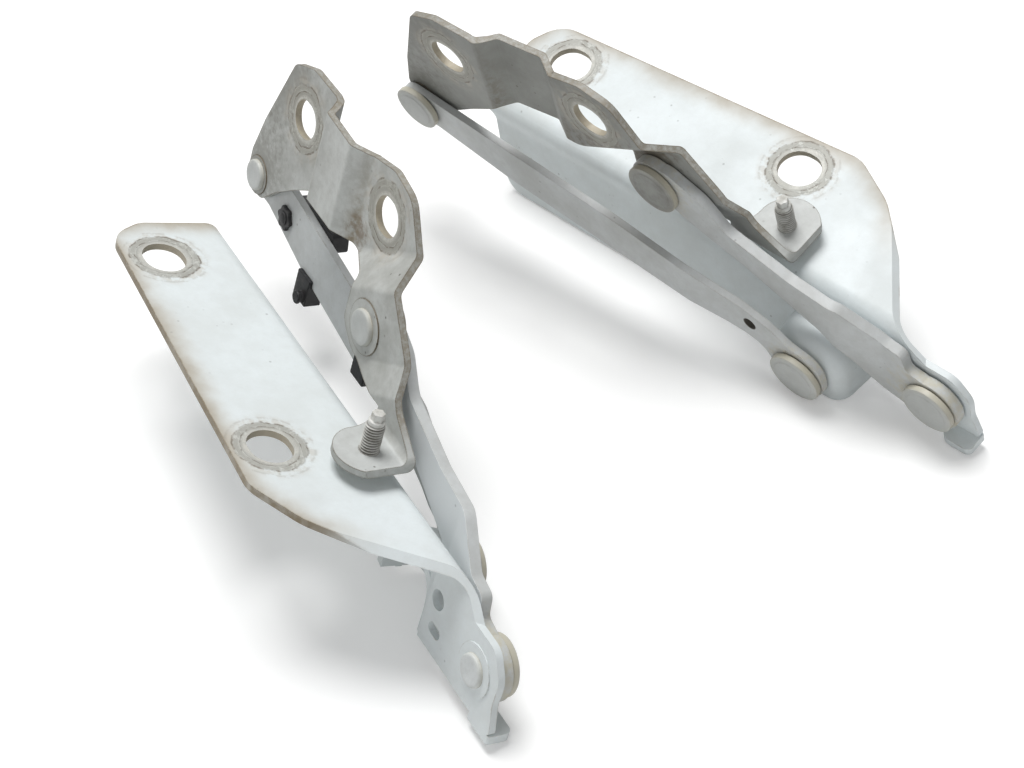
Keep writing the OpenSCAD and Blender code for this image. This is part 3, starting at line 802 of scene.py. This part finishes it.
def add_prism(mesh, segments, radius, low, high, chamfer, lobes=0, depth=0.0):
    """An upright prism with chamfered ends, its sides waved by a number of lobes."""
    made = bmesh.ops.create_circle(mesh, cap_ends=True, segments=segments, radius=radius,
                                   matrix=Matrix.Translation((0, 0, low)))
    for vert in made["verts"]:
        if lobes:
            vert.co.xy *= 1.0 + depth * math.cos(lobes * math.atan2(vert.co.y, vert.co.x))
    base = list({face for vert in made["verts"] for face in vert.link_faces})
    raised = bmesh.ops.extrude_face_region(mesh, geom=base, use_keep_orig=True)["geom"]
    top = [item for item in raised if isinstance(item, bmesh.types.BMVert)]
    bmesh.ops.translate(mesh, verts=top, vec=(0, 0, high - low))
    rims = {edge for face in base for edge in face.edges}
    rims |= {edge for edge in mesh.edges if edge.verts[0] in top and edge.verts[1] in top}
    round_edges(mesh, list(rims), chamfer)


def make_stop_bolt(side):
    """Hex head with a flange collar under the tab, screw thread and lobed tip above it."""
    mesh = bmesh.new()
    dark = mesh.verts.layers.float.new("root")
    add_thread(mesh, dark)
    core_r = ROOT + 0.06
    core = [(0.0, THREAD_LOW, 1.0), (core_r, THREAD_LOW, 1.0), (core_r, THREAD_TOP - 2.2, 1.0),
            (core_r, THREAD_TOP - 1.6, 0.0), (core_r, THREAD_TOP - 0.4, 0.0), (ROOT - 0.4, THREAD_TOP, 0.0),
            (0.0, THREAD_TOP, 0.0)]
    spin_outline(mesh, core, [dark], TURN_STEPS)
    collar = [(0.0, COLLAR_LOW), (7.6, COLLAR_LOW), (8.4, COLLAR_LOW + 0.35), (9.9, COLLAR_TOP - 0.95),
              (10.4, COLLAR_TOP - 0.6), (10.5, COLLAR_TOP - 0.3), (10.4, COLLAR_TOP), (0.0, COLLAR_TOP)]
    spin_outline(mesh, collar)
    hex_radius = BOLT_FLATS / 2 / math.cos(math.pi / 6)
    add_prism(mesh, segments=6, radius=hex_radius, low=BOLT_FOOT, high=COLLAR_LOW + 0.4, chamfer=BOLT_CHAMFER)
    add_prism(mesh, segments=72, radius=TIP_RADIUS * 0.92, low=THREAD_TOP - 0.6, high=TIP_TOP,
              chamfer=BOLT_CHAMFER, lobes=TIP_LOBES, depth=0.08)
    seat(mesh, side, Matrix.Translation(BOLT_AT))
    stand_in(mesh, f"{side}_stop_bolt", "threaded", BOLT_SHADE_ANGLE)


def make_rosette():
    """Petalled face of the clip button with its domed middle."""
    mesh = bmesh.new()
    add_prism(mesh, segments=72, radius=5.1, low=0.05, high=1.9, chamfer=0.5, lobes=PETALS, depth=0.11)
    dome = [(0.0, 1.2), (3.1, 1.2), (3.0, 1.9), (2.5, 2.4), (1.5, 2.7), (0.0, 2.8)]
    spin_outline(mesh, dome, steps=48)
    seat(mesh, "left", facing_out(BUTTON_AT))
    finish_piece(mesh, "left_button_clip_rosette", "left_guide", "black_plastic")


def make_stub():
    """Round stub of the middle clip with a rolled rim."""
    mesh = bmesh.new()
    stub = [(0.0, -0.5), (2.5, -0.5), (2.5, 2.6), (2.9, 2.9), (3.0, 3.4), (2.8, 3.9), (2.2, 4.1), (1.5, 4.0),
            (1.3, 3.0), (0.0, 2.9)]
    spin_outline(mesh, stub, steps=40)
    seat(mesh, "left", facing_out(STUB_AT))
    finish_piece(mesh, "left_stub_clip_stub", "left_guide", "black_plastic")


for side in SIDES:
    for pressing, width in EDGE_ROUND.items():
        rounded_copy(f"{side}_{pressing}", width)
    make_stop_bolt(side)
    for pivot_name in PIVOTS:
        make_rivet(side, pivot_name)
for clip in ("button_clip", "stub_clip", "edge_clip"):
    rounded_copy(f"left_{clip}", CLIP_ROUND)
make_rosette()
make_stub()

# remaining solids keep their shape and take their slot's finish
for name, node in frame["nodes"].items():
    node.data.materials.clear()
    node.data.materials.append(FINISH[SLOT_OF[name]])


# stage, in metres

FLOOR_SIZE = 6.0
FLOOR_DROP = 0.0002
FLOOR_COLOUR = (0.87, 0.87, 0.865, 1.0)
FLOOR_LIFT = 0.2
SKY_COLOUR = (0.98, 0.99, 1.0, 1.0)
SKY_STRENGTH = 0.31
LIGHT_AIM = Vector((0.0, 0.0, 0.05))


def make_floor():
    """A white floor that keeps the shadow and looks a little brighter to the camera."""
    mesh = bmesh.new()
    bmesh.ops.create_grid(mesh, x_segments=1, y_segments=1, size=FLOOR_SIZE)
    data = bpy.data.meshes.new("floor")
    mesh.to_mesh(data)
    mesh.free()
    floor = bpy.data.objects.new("floor", data)
    floor.location.z = -FLOOR_DROP
    scene.collection.objects.link(floor)
    material, tree, shader = start_material("studio_floor", Roughness=0.9, Specular_IOR_Level=0.1)
    shader.inputs["Base Color"].default_value = FLOOR_COLOUR
    shader.inputs["Emission Color"].default_value = (1.0, 1.0, 1.0, 1.0)
    seen = put(tree, "ShaderNodeLightPath").outputs["Is Camera Ray"]
    tree.links.new(times(tree, seen, FLOOR_LIFT), shader.inputs["Emission Strength"])
    data.materials.append(material)


def make_sky():
    world = bpy.data.worlds.new("studio")
    scene.world = world
    world.use_nodes = True
    sky = world.node_tree.nodes["Background"]
    sky.inputs["Color"].default_value = SKY_COLOUR
    sky.inputs["Strength"].default_value = SKY_STRENGTH


def soft_box(name, at, size, watts):
    """A round soft lamp aimed at the hinges."""
    lamp = bpy.data.lights.new(name, "AREA")
    lamp.shape = "DISK"
    lamp.size = size
    lamp.energy = watts
    holder = bpy.data.objects.new(name, lamp)
    holder.location = at
    holder.rotation_euler = (LIGHT_AIM - Vector(at)).to_track_quat("-Z", "Y").to_euler()
    scene.collection.objects.link(holder)


make_floor()
make_sky()
soft_box("key_light", at=(0.5, -0.1, 1.7), size=1.0, watts=26.5)
soft_box("side_light", at=(-0.9, 1.3, 0.9), size=0.9, watts=3.5)

# camera at the photograph's angle: its axes in the left hinge's frame, its stand and its lens
RIGHTWARD = Vector((-0.479, -0.842, 0.248))
DOWNWARD = Vector((-0.603, 0.11, -0.79))
FORWARD = Vector((0.638, -0.528, -0.561))
STAND = Vector((-0.549, 0.423, 0.678))
PULL_BACK = 0.11
PAN_RIGHT = -0.002
PAN_DOWN = 0.0066
SENSOR_WIDTH = 36.0
LENS = 88.63
NEAR_CLIP = 0.01


def make_camera():
    """The camera at the photograph's place, looking at both hinges."""
    data = bpy.data.cameras.new("photo_camera")
    data.sensor_width = SENSOR_WIDTH
    data.lens = LENS
    data.clip_start = NEAR_CLIP
    camera = bpy.data.objects.new("photo_camera", data)
    rightward, downward, forward = (HINGE_TURN.to_3x3() @ axis for axis in (RIGHTWARD, DOWNWARD, FORWARD))
    turn = Matrix((rightward, -downward, -forward)).transposed()
    stand = STAND - forward * PULL_BACK + rightward * PAN_RIGHT + downward * PAN_DOWN
    camera.matrix_world = Matrix.Translation(stand) @ turn.to_4x4()
    scene.collection.objects.link(camera)
    scene.camera = camera


make_camera()
